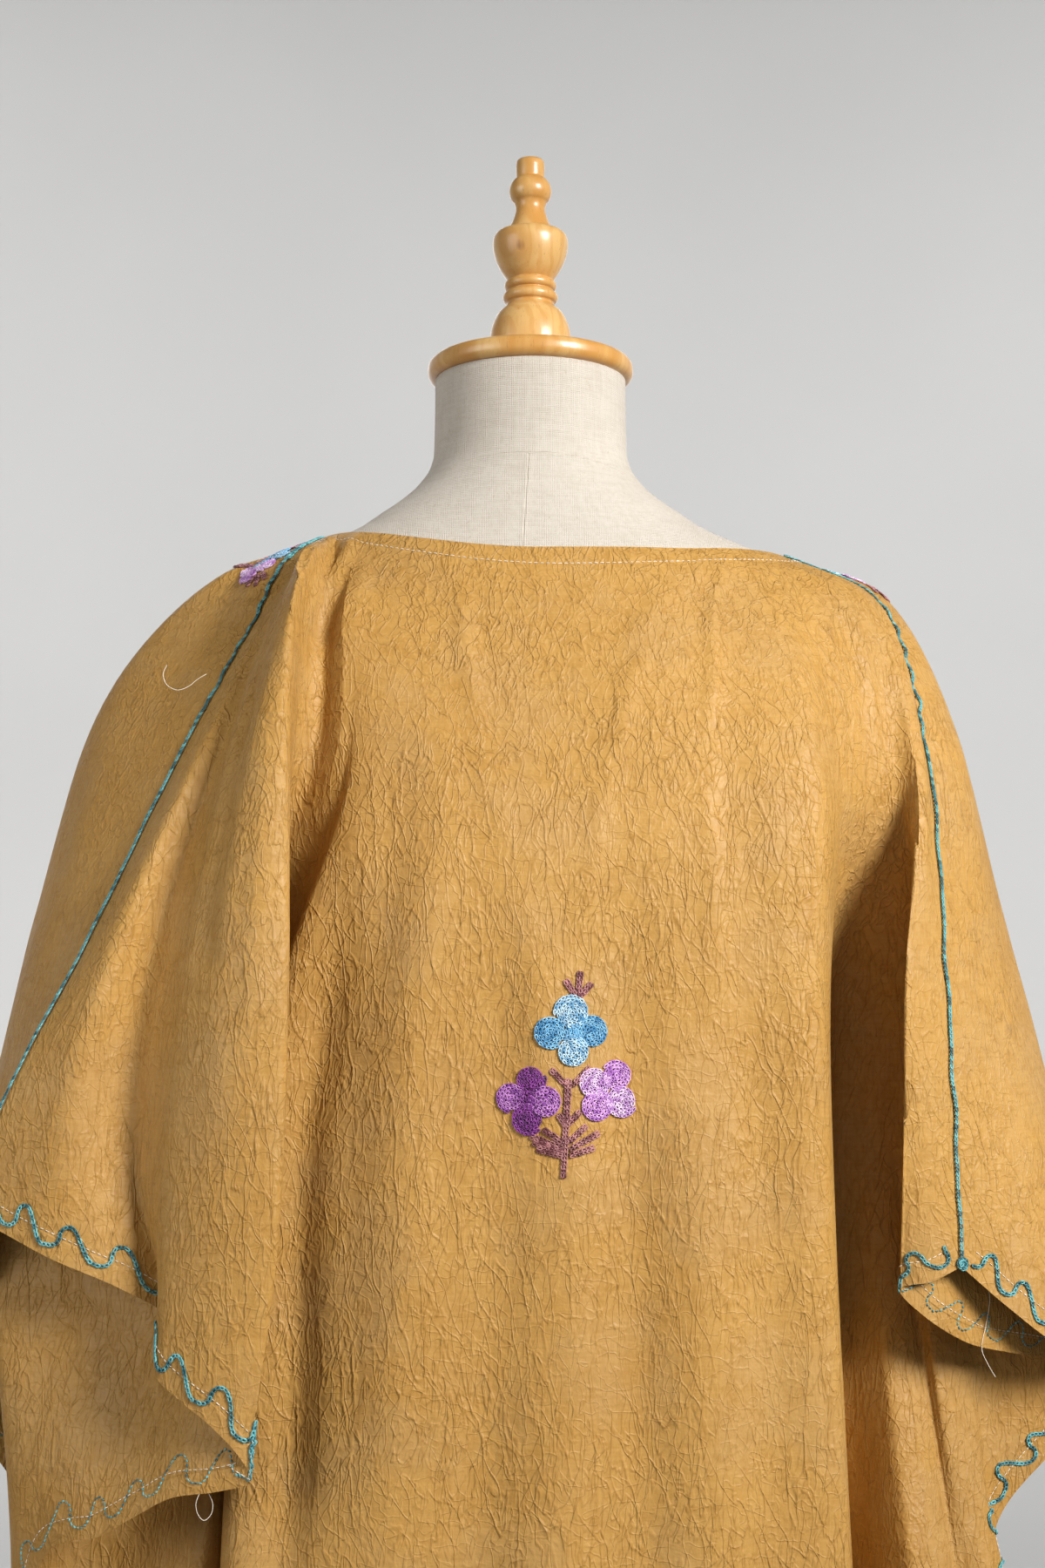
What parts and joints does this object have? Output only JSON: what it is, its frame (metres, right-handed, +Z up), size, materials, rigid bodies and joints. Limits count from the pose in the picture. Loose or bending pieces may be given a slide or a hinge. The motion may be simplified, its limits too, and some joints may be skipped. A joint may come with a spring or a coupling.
{
  "type": "kaftan on a dress form",
  "caption": "Wide mustard silk kaftan with embroidered borders, draped on a limbless linen dress form with a turned wooden top and stand.",
  "frame": {"origin": "centre of the stand foot's underside, which is also the bottom centre of the whole", "axes": "+Z up, -Y out of the kaftan's back, +X to the wearer's right"},
  "size_m": [0.7333, 0.376, 1.659],
  "materials": {
    "silk": "crushed, soft sheen",
    "linen": "plain woven, matt",
    "wood": "varnished"
  },
  "bodies": {
    "root": {"back_panel": "silk", "front_panel": "silk", "form_torso": "linen", "neck_cap": "wood", "finial": "wood", "stand_pole": "wood", "stand_foot": "wood"}
  },
  "joints": []
}
